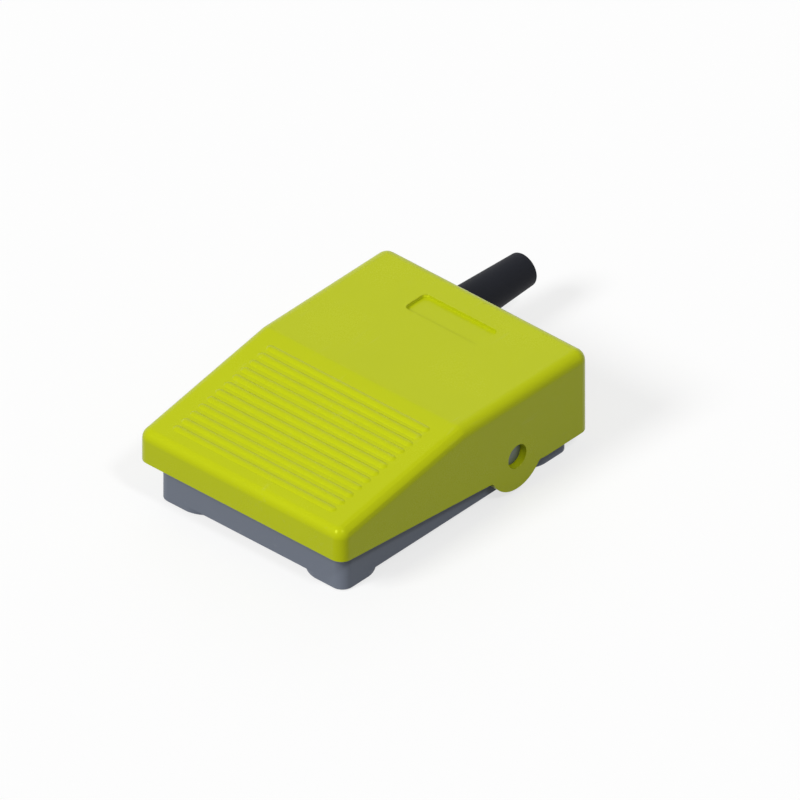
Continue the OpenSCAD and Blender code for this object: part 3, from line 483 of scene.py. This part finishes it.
spring_steel = metallic("spring_steel", (0.34, 0.35, 0.36, 1), (0.22, 0.23, 0.25, 1), 0.28)
brass = metallic("terminal_brass", (0.58, 0.40, 0.12, 1), (0.40, 0.25, 0.08, 1), 0.3,
                 lines=(300.0, 3000.0, 3000.0))
zinc = metallic("zinc_steel", (0.50, 0.51, 0.50, 1), (0.38, 0.40, 0.45, 1), 0.32)
moulding("switch_lever", "snap_switch_lever", spring_steel, "lever")
for node in ("terminal_common", "terminal_open", "terminal_closed"):
    moulding(node, node + "_tab", brass, "base")
moulding("switch_screws", "snap_switch_screws", zinc, "base")
moulding("cord_clamp_screws", "clamp_bar_screws", zinc, "base")


# Return springs: two compression springs of drawn steel wire in the cover's wells. Their
# end turns are closed and ground flat, and they press the pedal up.
WIRE = 0.0008
TURNS = 7
DEAD_TURNS = 1.0
CLOSED_PITCH = 1.02         # of a closed end turn, in wire diameters
POINTS_PER_TURN = 20
for side in ("left", "right"):
    node = "return_spring_" + side
    low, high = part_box(node)
    middle = ((low[0] + high[0]) / 2, (low[1] + high[1]) / 2)
    coil = (high[0] - low[0] - WIRE) / 2
    height = high[2] - low[2]
    slow = WIRE * CLOSED_PITCH
    rise = (height - WIRE - 2 * DEAD_TURNS * slow) / (TURNS - 2 * DEAD_TURNS)
    path = bpy.data.curves.new(node + "_wire", "CURVE")
    path.dimensions = "3D"
    path.bevel_depth = WIRE / 2
    path.bevel_resolution = 2
    path.use_fill_caps = True
    strand = path.splines.new("POLY")
    count = TURNS * POINTS_PER_TURN + 1
    strand.points.add(count - 1)
    z = low[2] + WIRE / 2
    for i, point in enumerate(strand.points):
        turn = i / POINTS_PER_TURN
        point.co = (middle[0] + coil * cos(2 * pi * turn), middle[1] + coil * sin(2 * pi * turn), z, 1)
        dead = turn < DEAD_TURNS or turn >= TURNS - DEAD_TURNS
        z += (slow if dead else rise) / POINTS_PER_TURN
    begin()
    spring = bpy.data.objects.new(node + "_coil", path)
    bpy.context.collection.objects.link(spring)
    spring.select_set(True)
    bpy.context.view_layer.objects.active = spring
    bpy.ops.object.convert(target="MESH")
    spring = bpy.context.object
    bpy.ops.object.mode_set(mode="EDIT")
    for face_z, up in ((low[2] + WIRE / 4, -1), (high[2] - WIRE / 4, 1)):
        bpy.ops.mesh.select_all(action="SELECT")
        bpy.ops.mesh.bisect(plane_co=(0, 0, face_z), plane_no=(0, 0, up), use_fill=True, clear_outer=True)
    bpy.ops.object.mode_set(mode="OBJECT")
    stretch = height / (height - WIRE / 2)
    spring.data.transform(Matrix.Translation((0, 0, low[2])) @ Matrix.Diagonal((1, 1, stretch, 1))
                          @ Matrix.Translation((0, 0, -low[2] - WIRE / 4)))
    finished(spring, node + "_coil", spring_steel, "spring_steel", "base", node, smooth=radians(40))
    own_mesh(spring)


# Inner cover: a dark grey lid that closes the tub, on a rubber gasket under its edge and
# six screws. It carries the spring wells and the plunger's guide.
moulding("cover_gasket", "tub_gasket", rubber, "base")
moulding("inner_cover", "tub_cover", cover_plastic, "base")
moulding("cover_screws", "tub_cover_screws", zinc, "base")


# Plunger: a natural nylon pin with a domed head that carries the pedal's push down to the
# microswitch's lever. A steel ring under the cover keeps it from coming out.
moulding("actuator", "plunger", nylon, "actuator")
moulding("actuator_clip", "plunger_ring", spring_steel, "actuator")

# Boot: a rubber bellows that seals the plunger. Its foot lies in a recess of the cover, and
# its collar grips the plunger's head.
BOOT_SIDES = 56
BOOT_WALL = 0.0004
low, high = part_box("actuator_boot")
middle = ((low[0] + high[0]) / 2, (low[1] + high[1]) / 2)
foot, collar = (high[0] - low[0]) / 2, 0.00395
BELLOWS = ((0.004, 0.0), (foot, 0.0), (foot, 0.0004), (0.0054, 0.0006), (0.00585, 0.0011),
           (0.0047, 0.0016), (0.0052, 0.0021), (0.0041, 0.0026), (collar, high[2] - low[2]))
begin()
radius, height = BELLOWS[0]
bpy.ops.mesh.primitive_circle_add(vertices=BOOT_SIDES, radius=radius, fill_type="NOTHING",
                                  location=(middle[0], middle[1], low[2] + height))
boot = bpy.context.object
bpy.ops.object.transform_apply(location=True, rotation=True, scale=True)
bpy.ops.object.mode_set(mode="EDIT")
bpy.ops.mesh.select_all(action="SELECT")
for next_radius, next_height in BELLOWS[1:]:
    bpy.ops.mesh.extrude_edges_move()
    share = next_radius / radius
    bpy.ops.transform.resize(value=(share, share, 1),
                             center_override=(middle[0], middle[1], low[2] + height))
    bpy.ops.transform.translate(value=(0, 0, next_height - height))
    radius, height = next_radius, next_height
bpy.ops.mesh.select_all(action="SELECT")
bpy.ops.mesh.normals_make_consistent(inside=False)
bpy.ops.object.mode_set(mode="OBJECT")
wall = boot.modifiers.new("wall", "SOLIDIFY")
wall.thickness = BOOT_WALL
wall.offset = -1
bpy.ops.object.modifier_apply(modifier="wall")
folds = boot.modifiers.new("folds", "SUBSURF")
folds.levels = folds.render_levels = 1
bpy.ops.object.modifier_apply(modifier="folds")
finished(boot, "plunger_bellows", rubber, "black_rubber", "base", "actuator_boot", smooth=radians(60))
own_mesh(boot)


# Pedal: one wedge-shaped cap in lime acetal that wraps the base, with round ears low on
# its sides, twelve half-round tread ribs on the slope and a bare recess for a label.
LIME = (0.475, 0.535, 0.006, 1)
LIME_GLOSS = (0.9, 1.0, 0.12, 1)
pedal_plastic = moulded("pedal_plastic", LIME, 0.26, grain=3200.0, clouds=0.04, rubbing=0.2, level=0.24)
pedal_plastic.node_tree.nodes["Principled BSDF"].inputs["Specular Tint"].default_value = LIME_GLOSS
moulding("pedal", "pedal_cap", pedal_plastic, "pedal")


# Pivot pins: two turned steel pins, pressed through the ears' holes into sockets in the
# base's sides. Each end keeps the fine rings of the lathe tool.
PIN_SIDES = 64
PIN_CHAMFER = 0.0003
pin_steel = metallic("pin_steel", (0.17, 0.19, 0.17, 1), (0.12, 0.14, 0.13, 1), 0.4,
                     lines=(300.0, 2600.0, 2600.0))
for side, sign in (("left", -1), ("right", 1)):
    node = "pivot_pin_" + side
    low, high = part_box(node)
    radius = (high[2] - low[2]) / 2
    length = high[0] - low[0]
    profile = [(radius - PIN_CHAMFER, 0), (radius, PIN_CHAMFER), (radius, length - PIN_CHAMFER),
               (radius - PIN_CHAMFER, length)]
    pin = drawn_up(profile, (0, 0), PIN_SIDES)
    axis_place = (low[0], (low[1] + high[1]) / 2, (low[2] + high[2]) / 2)
    laid_over(pin, Matrix.Rotation(pi / 2, 4, "Y"), axis_place)
    finished(pin, node + "_turned", pin_steel, "pin_steel", "base", node)
